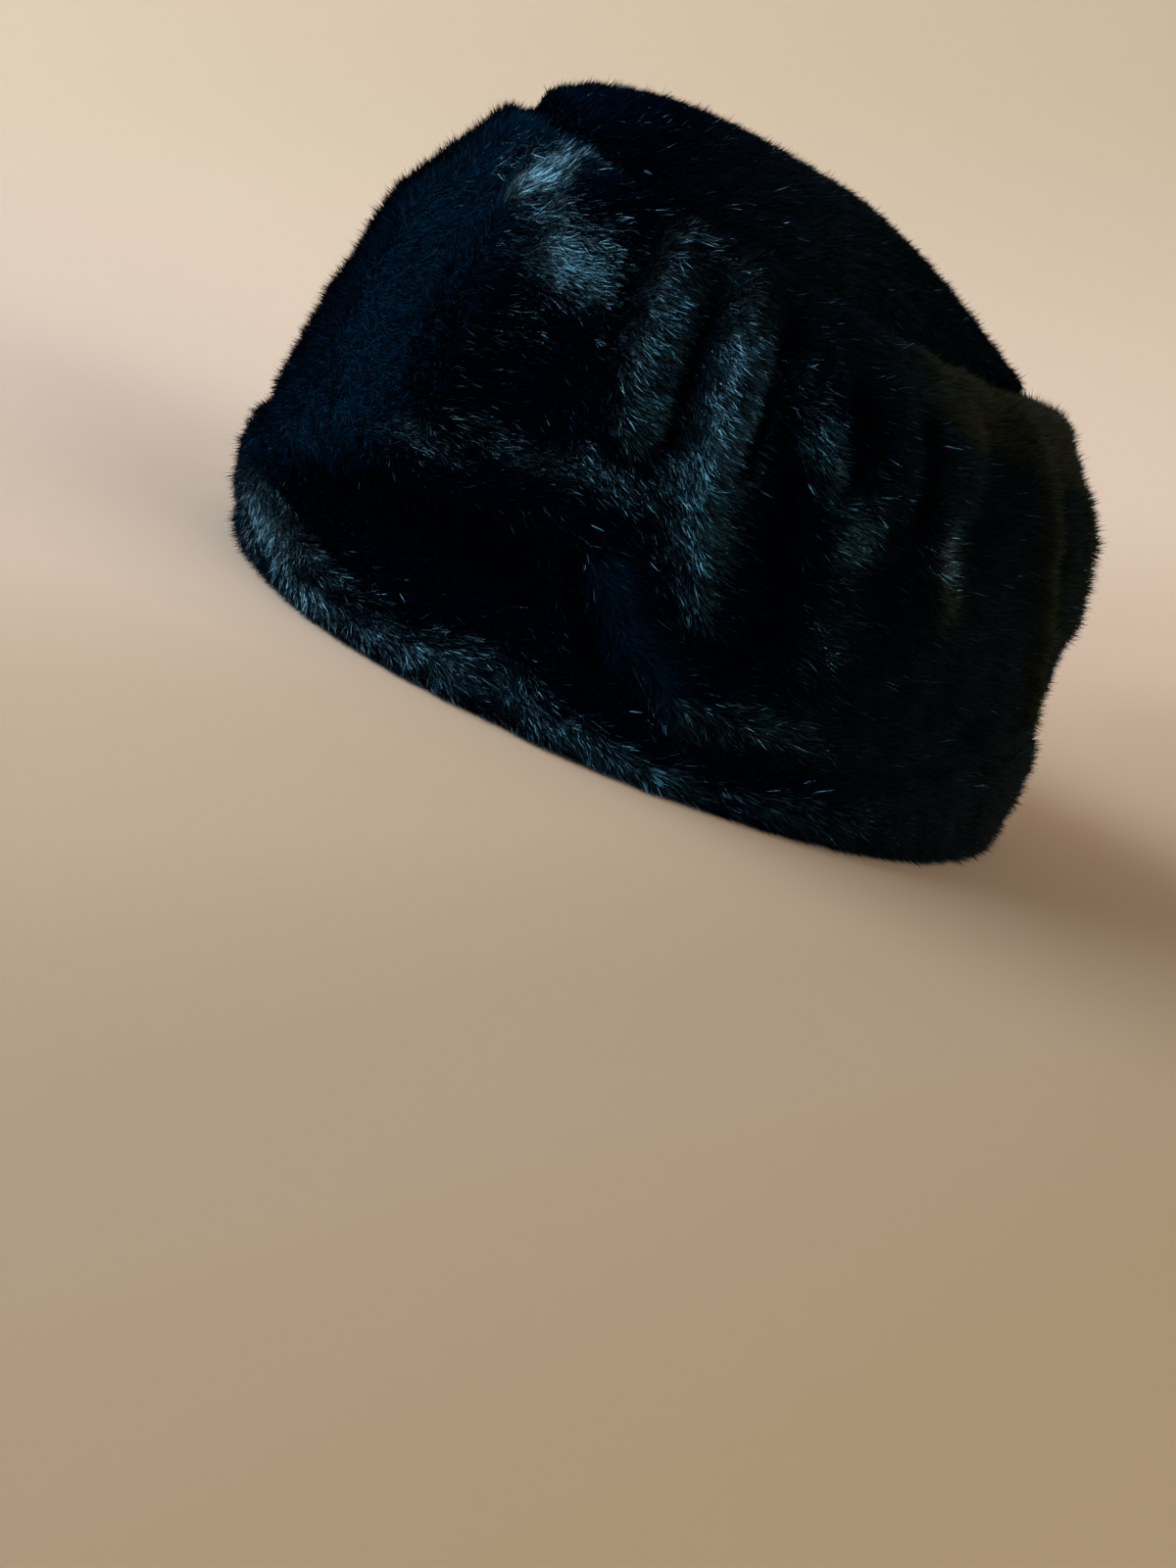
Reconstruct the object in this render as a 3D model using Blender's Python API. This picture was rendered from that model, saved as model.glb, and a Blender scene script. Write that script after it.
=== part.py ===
"""Pillbox hat of thick plush, resting on its rolled edge: a domed tip, a gathered side and the roll.

Metres, +Z up, the table at z = 0. The wearer's front faces -Y and the wearer's left faces +X.
A turn is an angle about Z in degrees, 0 at the front, 90 at the wearer's left, 180 at the back.
The pile counts as cloth here, so the walls are as thick as the plush.
"""

import math

import bpy

# Driving sizes
HAT_LENGTH = 0.238
HAT_WIDTH = 0.208
HEAD_LENGTH = 0.198
HEAD_WIDTH = 0.168
ROLL_HEIGHT = 0.034
SEAM_LENGTH = 0.1534
SEAM_WIDTH = 0.136
SEAM_HEIGHT = 0.1245
SEAM_FALL = 0.017
SEAM_FORWARD = 0.0023
TIP_RISE = 0.022
PLUSH = 0.006
GAP = 0.0003

# Sizes that follow from them
FOLD_DEPTH = 1.5 * PLUSH
FOOT_SHARE = 0.58
FOOT_LENGTH = HEAD_LENGTH + FOOT_SHARE * (HAT_LENGTH - HEAD_LENGTH)
FOOT_WIDTH = HEAD_WIDTH + FOOT_SHARE * (HAT_WIDTH - HEAD_WIDTH)
MEAN_RADIUS = (HAT_LENGTH + HAT_WIDTH) / 4
LINING_FOLLOWS = 0.75
LINING_WIDTH = 2.2
FOLD_BLEND = 4
PINCH = 0.16

# How finely the walls are cut up
SIDE_TURNS = 148
SIDE_ROWS = 18
LINING_ROWS = 7
LINING_ROWS_KEPT = 2
ROLL_TURNS = 80
TIP_TURNS = 64

# Reach of the side at each height: 1 at its foot, 0 at the tip seam
SIDE_SHAPE = (
    # up, front, back, side
    (0.00, 1.18, 1.12, 1.15),
    (0.20, 1.17, 1.11, 1.15),
    (0.34, 1.11, 1.06, 1.11),
    (0.45, 1.04, 1.03, 1.07),
    (0.58, 0.93, 1.00, 0.98),
    (0.67, 0.86, 0.93, 0.91),
    (0.77, 0.73, 0.84, 0.81),
    (0.86, 0.48, 0.65, 0.62),
    (0.93, 0.24, 0.40, 0.39),
    (0.975, 0.09, 0.20, 0.20),
    (1.00, 0.00, 0.00, 0.00),
)

# Height of the tip above its seam plane, as shares of its rise
TIP_SHAPE = (
    # inward, front, back, side
    (0.00, 0.00, 0.00, 0.00),
    (0.04, 0.25, 0.07, 0.14),
    (0.10, 0.42, 0.16, 0.30),
    (0.22, 0.64, 0.33, 0.52),
    (0.40, 0.85, 0.59, 0.76),
    (0.60, 0.97, 0.82, 0.91),
    (0.80, 0.995, 0.95, 0.98),
    (1.00, 1.00, 1.00, 1.00),
)

# Height of the roll round the hat, how far it stands out, and how far its lower edge is drawn in
ROLL_SHAPE = (
    # turn, height, reach, tuck
    (0, 1.00, 1.04, 0.40),
    (22, 0.79, 0.98, 0.34),
    (50, 0.48, 0.96, 0.03),
    (64, 0.46, 0.95, 0.00),
    (78, 0.62, 0.95, 0.00),
    (94, 0.36, 0.95, 0.00),
    (108, 0.36, 0.97, 0.00),
    (134, 0.66, 0.98, 0.02),
    (158, 0.90, 0.96, 0.06),
    (180, 1.04, 1.00, 0.08),
)
TUCK_REACHES = 0.7

# Section of the roll, anticlockwise from the inner edge of the flat it rests on
ROLL_SECTION = (
    # out, up
    (0.16, 0.00),
    (0.74, 0.00),
    (0.90, 0.07),
    (0.985, 0.26),
    (1.00, 0.52),
    (0.95, 0.78),
    (0.84, 0.95),
    (0.70, 1.00),
    (0.24, 1.00),
    (0.08, 0.92),
    (0.00, 0.66),
    (0.00, 0.24),
    (0.05, 0.06),
)
ROLL_OUTER_ROWS = range(2, 7)

# Folds of the side, each along a line from one point to another
# width is in shares of the plush, and depth in shares of the fold depth, below 0 where it stands out
SIDE_FOLDS = (
    # up, turn, end up, end turn, width, depth
    (0.96, 30, 0.50, 31, 1.3, -0.30),
    (0.85, 15, 0.45, 17, 2.0, 0.20),
    (0.80, 40, 0.45, 44, 1.2, 0.32),
    (0.86, 49, 0.44, 57, 1.1, -0.36),
    (0.95, 52, 0.78, 63, 1.3, -0.34),
    (0.72, 63, 0.50, 69, 2.0, 0.48),
    (0.93, 69, 0.75, 75, 0.9, 0.55),
    (0.91, 76, 0.60, 80, 1.0, -0.40),
    (0.90, 82, 0.66, 86, 0.8, 0.85),
    (0.96, 88, 0.56, 92, 1.0, -0.50),
    (0.56, 92, 0.34, 98, 1.0, -0.44),
    (0.92, 95, 0.70, 98, 0.8, 0.80),
    (0.66, 100, 0.38, 104, 1.3, 0.52),
    (0.86, 101, 0.71, 104, 0.9, -0.40),
    (0.87, 107, 0.70, 109, 0.8, 0.72),
    (0.69, 113, 0.57, 108, 1.1, -0.36),
    (0.88, 113, 0.78, 114, 0.9, -0.30),
    (0.86, 119, 0.68, 120, 0.8, 0.62),
    (0.58, 116, 0.42, 119, 1.4, 0.56),
    (0.66, 124, 0.55, 127, 1.1, -0.38),
    (0.88, 135, 0.66, 130, 1.3, 0.55),
    (0.92, 143, 0.65, 147, 0.9, -0.46),
    (0.65, 147, 0.36, 158, 1.0, -0.42),
    (0.86, 151, 0.47, 157, 0.8, 0.50),
    (0.84, 161, 0.57, 174, 1.0, -0.30),
    (0.37, 40, 0.35, 64, 1.1, -0.36),
    (0.35, 64, 0.42, 74, 1.0, -0.36),
    (0.42, 74, 0.38, 83, 1.0, -0.36),
    (0.22, 38, 0.22, 60, 1.7, 0.90),
    (0.24, 60, 0.26, 75, 1.5, 0.95),
    (0.36, 84, 0.25, 91, 0.9, -0.42),
    (0.25, 91, 0.18, 99, 0.9, -0.46),
    (0.18, 99, 0.19, 108, 0.9, -0.36),
    (0.30, 96, 0.26, 108, 1.0, 0.45),
    (0.26, 108, 0.28, 142, 1.3, 0.50),
    (0.95, 0, 0.95, 38, 0.8, -0.26),
    (0.94, 146, 0.95, 180, 0.9, -0.30),
)

# Folds of the roll, with up as a share of the roll's height
ROLL_FOLDS = (
    # up, turn, end up, end turn, width, depth
    (1.00, 75, 0.30, 78, 1.0, 0.42),
    (0.60, 60, 0.60, 66, 2.2, -0.14),
    (0.50, 88, 0.50, 92, 2.0, -0.14),
    (0.90, 104, 0.40, 106, 1.4, 0.20),
    (0.90, 34, 0.30, 36, 1.6, 0.20),
    (0.90, 148, 0.30, 151, 1.3, 0.22),
)

# The side that isn't seen has the same folds, moved round a little and shallower
HIDDEN_SHIFT = 5
HIDDEN_SHARE = 0.8


def table_value(rows, at, column, flat_ends=False):
    """One column of a table at any value of its first column, through smooth curves."""
    last = len(rows) - 1
    i = max(k for k in range(last) if rows[k][0] <= at or k == 0)
    span = rows[i + 1][0] - rows[i][0]
    t = min(max((at - rows[i][0]) / span, 0.0), 1.0)
    slopes = []
    for k in (i, i + 1):
        if flat_ends and k in (0, last):
            slopes.append(0.0)
            continue
        low, high = rows[max(k - 1, 0)], rows[min(k + 1, last)]
        slopes.append((high[column] - low[column]) / (high[0] - low[0]) * span)
    start, end = rows[i][column], rows[i + 1][column]
    bend = (1 - t) * ((start - end) + slopes[0]) - t * ((start - end) + slopes[1])
    return start + (end - start) * t + t * (1 - t) * bend


def around(turn, front, back, side):
    """The value between the front's, the side's and the back's."""
    along = math.cos(math.radians(turn))
    end = front if along > 0 else back
    return side + (end - side) * along**2


def on_ellipse(turn, length, width, forward=0.0):
    """The point of an oval at this turn, with its middle moved forward."""
    angle = math.radians(turn)
    return width / 2 * math.sin(angle), -length / 2 * math.cos(angle) - forward


def outward(turn, lift):
    """The direction a fold stands out in, level at the foot and steeper with lift."""
    angle = math.radians(turn)
    x, y = math.sin(angle) / HAT_WIDTH, -math.cos(angle) / HAT_LENGTH
    level = math.cos(lift) / math.hypot(x, y)
    return x * level, y * level, math.sin(lift)


def mirrored(turn):
    return turn if turn <= 180 else 360 - turn


def line_distance(point, start, end):
    """How far a point on the unrolled wall is from a fold's line."""
    along = (end[0] - start[0], end[1] - start[1])
    away = (point[0] - start[0], point[1] - start[1])
    t = (away[0] * along[0] + away[1] * along[1]) / (along[0] ** 2 + along[1] ** 2)
    t = min(max(t, 0.0), 1.0)
    return math.hypot(away[0] - t * along[0], away[1] - t * along[1])


def fold_depth(folds, turn, up, height, lining=False):
    """How deep the wall is pressed in at a place. The lining follows the pressed folds only, and widely."""
    hidden = max(-math.sin(math.radians(turn)), 0.0)
    turn = mirrored(turn) - HIDDEN_SHIFT * hidden
    place = (math.radians(turn) * MEAN_RADIUS, up * height)
    pressed, raised = 0.0, 0.0
    for up_from, turn_from, up_to, turn_to, width, share in folds:
        start = (math.radians(turn_from) * MEAN_RADIUS, up_from * height)
        end = (math.radians(turn_to) * MEAN_RADIUS, up_to * height)
        width = max(width, LINING_WIDTH) if lining else width
        far = line_distance(place, start, end) / (width * PLUSH)
        part = (abs(share) * math.exp(-far * far)) ** FOLD_BLEND
        pressed += part if share > 0 else 0.0
        raised += part if share < 0 else 0.0
    if lining:
        depth = LINING_FOLLOWS * pressed ** (1 / FOLD_BLEND)
    else:
        depth = pressed ** (1 / FOLD_BLEND) - raised ** (1 / FOLD_BLEND)
    return FOLD_DEPTH * depth * (1 - (1 - HIDDEN_SHARE) * hidden)


def seam_height(turn):
    """Height of the tip seam, which falls toward the back."""
    return SEAM_HEIGHT + SEAM_FALL / 2 * math.cos(math.radians(turn))


def roll_height(turn):
    return ROLL_HEIGHT * table_value(ROLL_SHAPE, mirrored(turn), 1, True)


def ease(t):
    """0 to 1 with no corner at either end."""
    t = min(max(t, 0.0), 1.0)
    return t * t * (3 - 2 * t)


def side_point(turn, rise, thick=0.0):
    """A point of the side's outside, or of its lining: rise runs from its foot to the seam."""
    foot = roll_height(turn) + GAP
    top = seam_height(turn)
    up = (foot + rise * (top - foot)) / top
    reach = around(turn, *(table_value(SIDE_SHAPE, up, k) for k in (1, 2, 3)))
    pinch = min(rise / PINCH, 1.0)
    reach = 1 + (reach - 1) * math.sqrt(1 - (1 - pinch) ** 2) if pinch < 1 else reach
    foot_x, foot_y = on_ellipse(turn, FOOT_LENGTH - 2 * thick, FOOT_WIDTH - 2 * thick)
    seam_x, seam_y = on_ellipse(turn, SEAM_LENGTH, SEAM_WIDTH, SEAM_FORWARD)
    fade = ease(rise / 0.08) * ease((1 - rise) / 0.04)
    press = -fade * fold_depth(SIDE_FOLDS, turn, up, SEAM_HEIGHT, lining=thick > 0)
    out_x, out_y, out_z = outward(turn, math.radians(75) * ease((up - 0.6) / 0.4))
    return (
        seam_x + (foot_x - seam_x) * reach + press * out_x,
        seam_y + (foot_y - seam_y) * reach + press * out_y,
        foot + rise * (top - thick - foot) + press * out_z,
    )


def tip_point(turn, inward, below):
    """A point of the tip: inward runs from the seam to the middle, and below is how far under the outside."""
    edge_x, edge_y = on_ellipse(turn, SEAM_LENGTH - 2 * GAP, SEAM_WIDTH - 2 * GAP)
    x, y = edge_x * (1 - inward), edge_y * (1 - inward)
    plane = SEAM_HEIGHT - SEAM_FALL * y / SEAM_LENGTH
    rise = around(turn, *(table_value(TIP_SHAPE, inward, k) for k in (1, 2, 3)))
    rise = rise + (1 - rise) * ease((inward - 0.6) / 0.4)
    return x, y - SEAM_FORWARD, plane + TIP_RISE * rise - below


def roll_point(turn, row):
    """A point of the roll's section at this turn."""
    out, up = ROLL_SECTION[row]
    reach = table_value(ROLL_SHAPE, mirrored(turn), 2, True)
    inner_x, inner_y = on_ellipse(turn, HEAD_LENGTH, HEAD_WIDTH)
    outer_x, outer_y = on_ellipse(turn, HAT_LENGTH, HAT_WIDTH)
    tuck = table_value(ROLL_SHAPE, mirrored(turn), 3, True)
    drawn_in = 1 - tuck * max(1 - up / TUCK_REACHES, 0.0)
    share = out * (reach * drawn_in if out > FOOT_SHARE else 1.0)
    press = 0.0
    if row in ROLL_OUTER_ROWS:
        press = -fold_depth(ROLL_FOLDS, turn, up, ROLL_HEIGHT)
    out_x, out_y, _ = outward(turn, 0.0)
    return (
        inner_x + (outer_x - inner_x) * share + press * out_x,
        inner_y + (outer_y - inner_y) * share + press * out_y,
        roll_height(turn) * up,
    )


def spread(count, bias=0.45):
    """Shares from 0 to 1, closer together at both ends."""
    for k in range(count + 1):
        t = k / count
        yield t - bias * math.sin(2 * math.pi * t) / (2 * math.pi)


def turns(count):
    return [360 * k / count for k in range(count)]


def bridge(first, second):
    """Faces between two rings of point numbers."""
    count = len(first)
    for k in range(count):
        n = (k + 1) % count
        yield first[k], first[n], second[n], second[k]


def make_body(name, rings, caps, material, collection):
    """A closed body through rings of points, which meet end to end or close on two cap points."""
    points = [point for ring in rings for point in ring]
    count = len(rings[0])
    numbers = [range(i * count, (i + 1) * count) for i in range(len(rings))]
    faces = []
    for first, second in zip(numbers, numbers[1:]):
        faces += bridge(first, second)
    if caps:
        start, end = len(points), len(points) + 1
        points += caps
        for k in range(count):
            n = (k + 1) % count
            faces.append((numbers[0][n], numbers[0][k], start))
            faces.append((numbers[-1][k], numbers[-1][n], end))
    else:
        faces += bridge(numbers[-1], numbers[0])
    mesh = bpy.data.meshes.new(name)
    mesh.from_pydata(points, [], faces)
    mesh.polygons.foreach_set("use_smooth", [True] * len(faces))
    mesh.materials.append(material)
    body = bpy.data.objects.new(name, mesh)
    collection.objects.link(body)
    return body


def plush_material(name, colour):
    """Black plush, dull in itself and glossy only where its pile leans to the light."""
    material = bpy.data.materials.new(name)
    material.use_nodes = True
    shader = material.node_tree.nodes["Principled BSDF"]
    shader.inputs["Base Color"].default_value = (*colour, 1.0)
    shader.inputs["Roughness"].default_value = 0.72
    shader.inputs["Metallic"].default_value = 0.0
    shader.inputs["Sheen Weight"].default_value = 0.35
    shader.inputs["Sheen Roughness"].default_value = 0.4
    return material


def crown_tip(collection):
    """The domed oval top, as thick as the plush."""
    insets = [row[0] for row in TIP_SHAPE[:-1]]
    ring = turns(TIP_TURNS)
    inside = [[tip_point(t, k, PLUSH) for t in ring] for k in insets[::LINING_ROWS_KEPT]]
    outside = [[tip_point(t, k, 0.0) for t in ring] for k in insets]
    caps = [tip_point(0, 1.0, PLUSH), tip_point(0, 1.0, 0.0)]
    rings = inside[::-1] + outside
    material = plush_material("tip_plush", (0.006, 0.008, 0.011))
    return make_body("crown_tip", rings, caps, material, collection)


def side_band(collection):
    """The gathered side, from its foot on the roll to the tip seam."""
    ring = turns(SIDE_TURNS)
    inside = [[side_point(t, k, PLUSH) for t in ring] for k in spread(LINING_ROWS)]
    outside = [[side_point(t, k) for t in ring] for k in spread(SIDE_ROWS)]
    rings = inside[::-1] + outside
    material = plush_material("side_plush", (0.006, 0.008, 0.012))
    return make_body("side_band", rings, None, material, collection)


def rim_roll(collection):
    """The rolled edge, one solid ring that rests on its flat."""
    ring = turns(ROLL_TURNS)
    rings = [[roll_point(t, row) for t in ring] for row in range(len(ROLL_SECTION))]
    material = plush_material("roll_plush", (0.007, 0.009, 0.013))
    return make_body("rim_roll", rings, None, material, collection)


def main():
    for old in list(bpy.data.objects):
        bpy.data.objects.remove(old)
    collection = bpy.data.collections.new("pillbox_hat")
    bpy.context.scene.collection.children.link(collection)
    crown_tip(collection)
    side_band(collection)
    rim_roll(collection)


main()
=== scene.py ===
"""The pillbox hat in black plush, standing on its rolled edge before a pale warm backdrop.

Metres, +Z up, the wearer's front toward -Y and the wearer's left toward +X, as in the frame.
A turn is an angle about Z in degrees: 0 at the front, 90 at the wearer's left, 180 at the back.
Each CAD solid is replaced by a finer skin of the same form, sunk a little, with the pile growing out of it.
"""

import math

import bpy
import numpy as np
from mathutils import Matrix, Quaternion, Vector

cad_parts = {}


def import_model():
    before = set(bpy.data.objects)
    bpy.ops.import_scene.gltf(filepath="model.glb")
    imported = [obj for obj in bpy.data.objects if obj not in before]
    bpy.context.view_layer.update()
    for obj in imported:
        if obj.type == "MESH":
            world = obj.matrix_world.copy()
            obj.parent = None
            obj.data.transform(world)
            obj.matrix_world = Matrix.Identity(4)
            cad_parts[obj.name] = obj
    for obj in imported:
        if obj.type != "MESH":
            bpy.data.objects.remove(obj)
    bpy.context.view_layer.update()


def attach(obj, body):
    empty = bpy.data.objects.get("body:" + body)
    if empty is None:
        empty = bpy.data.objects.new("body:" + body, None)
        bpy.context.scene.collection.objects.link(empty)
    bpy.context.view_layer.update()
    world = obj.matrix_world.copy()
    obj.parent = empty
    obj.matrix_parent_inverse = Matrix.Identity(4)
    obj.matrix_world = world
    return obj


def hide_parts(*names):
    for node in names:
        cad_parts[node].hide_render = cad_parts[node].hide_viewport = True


# Sizes of the part, as its source names them
HAT_LENGTH = 0.238
HAT_WIDTH = 0.208
HEAD_LENGTH = 0.198
HEAD_WIDTH = 0.168
ROLL_HEIGHT = 0.034
SEAM_LENGTH = 0.1534
SEAM_WIDTH = 0.136
SEAM_HEIGHT = 0.1245
SEAM_FALL = 0.017
SEAM_FORWARD = 0.0023
TIP_RISE = 0.022
PLUSH = 0.006
GAP = 0.0003
FOLD_DEPTH = 1.5 * PLUSH
FOOT_SHARE = 0.58
FOOT_LENGTH = HEAD_LENGTH + FOOT_SHARE * (HAT_LENGTH - HEAD_LENGTH)
FOOT_WIDTH = HEAD_WIDTH + FOOT_SHARE * (HAT_WIDTH - HEAD_WIDTH)
MEAN_RADIUS = (HAT_LENGTH + HAT_WIDTH) / 4
LINING_FOLLOWS = 0.75
LINING_WIDTH = 2.2
FOLD_BLEND = 4

# Shares of the way up or in at which the forms change, as start and reach
PINCH = 0.16
FOOT_FADE, SEAM_FADE = 0.08, 0.04
CROWN_LIFT, CROWN_LEVELS = 75, (0.6, 0.4)
TIP_EVENS = (0.6, 0.4)
ROLL_REACHES_FROM = 0.3

# Reach of the side at each height: 1 at its foot, 0 at the tip seam
SIDE_SHAPE = (
    # up, front, back, side
    (0.00, 1.18, 1.12, 1.15),
    (0.20, 1.17, 1.11, 1.15),
    (0.34, 1.11, 1.06, 1.11),
    (0.45, 1.04, 1.03, 1.07),
    (0.58, 0.93, 1.00, 0.98),
    (0.67, 0.86, 0.93, 0.91),
    (0.77, 0.73, 0.84, 0.81),
    (0.86, 0.48, 0.65, 0.62),
    (0.93, 0.24, 0.40, 0.39),
    (0.975, 0.09, 0.20, 0.20),
    (1.00, 0.00, 0.00, 0.00),
)

# Height of the tip above its seam plane, as shares of its rise
TIP_SHAPE = (
    # inward, front, back, side
    (0.00, 0.00, 0.00, 0.00),
    (0.04, 0.25, 0.07, 0.14),
    (0.10, 0.42, 0.16, 0.30),
    (0.22, 0.64, 0.33, 0.52),
    (0.40, 0.85, 0.59, 0.76),
    (0.60, 0.97, 0.82, 0.91),
    (0.80, 0.995, 0.95, 0.98),
    (1.00, 1.00, 1.00, 1.00),
)

# Height of the roll round the hat, how far it stands out, and how far its lower edge is drawn in
ROLL_SHAPE = (
    # turn, height, reach, tuck
    (0, 1.00, 1.04, 0.40),
    (22, 0.79, 0.98, 0.34),
    (50, 0.48, 0.96, 0.03),
    (64, 0.46, 0.95, 0.00),
    (78, 0.62, 0.95, 0.00),
    (94, 0.36, 0.95, 0.00),
    (108, 0.36, 0.97, 0.00),
    (134, 0.66, 0.98, 0.02),
    (158, 0.90, 0.96, 0.06),
    (180, 1.04, 1.00, 0.08),
)

# Section of the roll, anticlockwise from the inner edge of the flat it rests on
ROLL_SECTION = (
    # out, up
    (0.16, 0.00),
    (0.74, 0.00),
    (0.90, 0.07),
    (0.985, 0.26),
    (1.00, 0.52),
    (0.95, 0.78),
    (0.84, 0.95),
    (0.70, 1.00),
    (0.24, 1.00),
    (0.08, 0.92),
    (0.00, 0.66),
    (0.00, 0.24),
    (0.05, 0.06),
)
TUCK_REACHES = 0.7
ROLL_FIRST_OUTER, ROLL_LAST_OUTER = 1, 7

# Folds of the side: width in shares of the plush, depth in shares of the fold depth.
# A depth below 0 is where the side stands out.
SIDE_FOLDS = (
    # up, turn, end up, end turn, width, depth
    (0.96, 30, 0.50, 31, 1.3, -0.30),
    (0.85, 15, 0.45, 17, 2.0, 0.20),
    (0.80, 40, 0.45, 44, 1.2, 0.32),
    (0.86, 49, 0.44, 57, 1.1, -0.36),
    (0.95, 52, 0.78, 63, 1.3, -0.34),
    (0.72, 63, 0.50, 69, 2.0, 0.48),
    (0.93, 69, 0.75, 75, 0.9, 0.55),
    (0.91, 76, 0.60, 80, 1.0, -0.40),
    (0.90, 82, 0.66, 86, 0.8, 0.85),
    (0.96, 88, 0.56, 92, 1.0, -0.50),
    (0.56, 92, 0.34, 98, 1.0, -0.44),
    (0.92, 95, 0.70, 98, 0.8, 0.80),
    (0.66, 100, 0.38, 104, 1.3, 0.52),
    (0.86, 101, 0.71, 104, 0.9, -0.40),
    (0.87, 107, 0.70, 109, 0.8, 0.72),
    (0.69, 113, 0.57, 108, 1.1, -0.36),
    (0.88, 113, 0.78, 114, 0.9, -0.30),
    (0.86, 119, 0.68, 120, 0.8, 0.62),
    (0.58, 116, 0.42, 119, 1.4, 0.56),
    (0.66, 124, 0.55, 127, 1.1, -0.38),
    (0.88, 135, 0.66, 130, 1.3, 0.55),
    (0.92, 143, 0.65, 147, 0.9, -0.46),
    (0.65, 147, 0.36, 158, 1.0, -0.42),
    (0.86, 151, 0.47, 157, 0.8, 0.50),
    (0.84, 161, 0.57, 174, 1.0, -0.30),
    (0.37, 40, 0.35, 64, 1.1, -0.36),
    (0.35, 64, 0.42, 74, 1.0, -0.36),
    (0.42, 74, 0.38, 83, 1.0, -0.36),
    (0.22, 38, 0.22, 60, 1.7, 0.90),
    (0.24, 60, 0.26, 75, 1.5, 0.95),
    (0.36, 84, 0.25, 91, 0.9, -0.42),
    (0.25, 91, 0.18, 99, 0.9, -0.46),
    (0.18, 99, 0.19, 108, 0.9, -0.36),
    (0.30, 96, 0.26, 108, 1.0, 0.45),
    (0.26, 108, 0.28, 142, 1.3, 0.50),
    (0.95, 0, 0.95, 38, 0.8, -0.26),
    (0.94, 146, 0.95, 180, 0.9, -0.30),
)

# Folds of the roll, with up as a share of the roll's height
ROLL_FOLDS = (
    # up, turn, end up, end turn, width, depth
    (1.00, 75, 0.30, 78, 1.0, 0.42),
    (0.60, 60, 0.60, 66, 2.2, -0.14),
    (0.50, 88, 0.50, 92, 2.0, -0.14),
    (0.90, 104, 0.40, 106, 1.4, 0.20),
    (0.90, 34, 0.30, 36, 1.6, 0.20),
    (0.90, 148, 0.30, 151, 1.3, 0.22),
)
HIDDEN_SHIFT = 5
HIDDEN_SHARE = 0.8

# The solids' narrow deep folds are drawn narrower and shallower here, because the pile closes over them
NARROW_FOLD, DEEP_FOLD = 0.9, 0.45
NARROW_BECOMES, DEEP_BECOMES = 0.55, 0.45

# Slits that the gathers close to: finer folds than the solids hold, in the same columns
SLIT_FULL, SLIT_SHORTENS, RIDGE_FULL = 0.6, 0.75, 0.4
SIDE_SLITS = (
    # up, turn, end up, end turn, width, depth
    (0.97, 36, 0.82, 42, 0.50, 0.55),
    (0.93, 69.5, 0.66, 74.5, 0.50, 0.75),
    (0.90, 82.5, 0.62, 85, 0.42, 1.05),
    (0.92, 94.5, 0.62, 95.5, 0.40, 1.05),
    (0.88, 100, 0.80, 99.5, 0.35, 0.65),
    (0.87, 106.5, 0.68, 109, 0.40, 0.95),
    (0.86, 119, 0.66, 120, 0.45, 0.80),
    (0.86, 135, 0.68, 131, 0.50, 0.60),
    (0.86, 151, 0.50, 157, 0.45, 0.65),
    (0.35, 80, 0.27, 83.5, 0.50, 0.90),
    (0.27, 83.5, 0.19, 88.5, 0.60, 1.00),
    (0.19, 88.5, 0.12, 98, 0.60, 0.95),
)
ROLL_SLITS = (
    # up, turn, end up, end turn, width, depth
    (1.10, 74.5, 0.45, 77, 0.45, 0.60),
    (1.00, 104, 0.50, 106, 0.50, 0.35),
)

# How finely the skins are cut up
SIDE_TURNS, SIDE_ROWS, SIDE_LINING_ROWS = 420, 90, 8
ROLL_TURNS, ROLL_STEPS = 320, 3
TIP_TURNS, TIP_ROWS, TIP_LINING_ROWS = 160, 36, 5
ROW_BIAS, TIP_ROW_POWER, TIP_LINING_REACH = 0.45, 1.3, 0.9
ROLL_SMOOTHINGS = 3

# How deep the skins are sunk, and the crease along the seam: its depth, its start and its reach
ROOT_DEPTH = 0.0020
CREASE_DEPTH, CREASE_FROM, CREASE_REACH = 0.0018, 0.95, 0.05
FOOT_STAYS = 0.03
ROLL_SINKS_FROM = 1.5

# The pile: each hair is one long triangle, in tufts that lean together
HAIR_LENGTH = 0.0042
HAIR_WIDTH = 0.00028
SIDE_HAIRS, ROLL_HAIRS, TIP_HAIRS = 500000, 220000, 130000
SIDE_PARTS, ROLL_PARTS = 3, 2
SEED = 11
FLOOR_CLEAR = 0.0004
# Each hair's tone at its root, as a share of that at its tip: painted shade, darker deep in the pile
ROOT_TONE = 0.3

# How far hairs differ: by the tuft and by the hair, in degrees, and the least share and the rest of a measure
TUFT_SIZE = 0.0028
TUFT_UNEVEN = 0.28
TUFT_PRIMES, TUFT_NUMBERS, TUFT_SHIFT = (73856093, 19349663, 83492791), 4096, 10
SWING_BY_TUFT, SWING_BY_HAIR = 16, 11
LEAN_BY_TUFT, LEAN_BY_HAIR = 13, 11
LENGTH_LEAST, LENGTH_REST = 0.7, 0.5
WIDTH_LEAST, WIDTH_REST = 0.6, 0.8
TILT, TILT_BRUSHED, TILT_MOST = 45, 15, 1.6
STRAYS, STRAY_LIFT = 0.05, 35
LEAN, LEAN_LIMITS = 62, (5, 86)
GLOSS_BY_TUFT = 0.25

# Hair length as shares, at the seam and the rest, and how near the seam it changes
SIDE_LENGTHS, SIDE_LENGTH_REACH = (0.7, 0.3), 0.06
TIP_LENGTHS, TIP_LENGTH_REACH = (0.5, 0.35), 0.08

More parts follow.
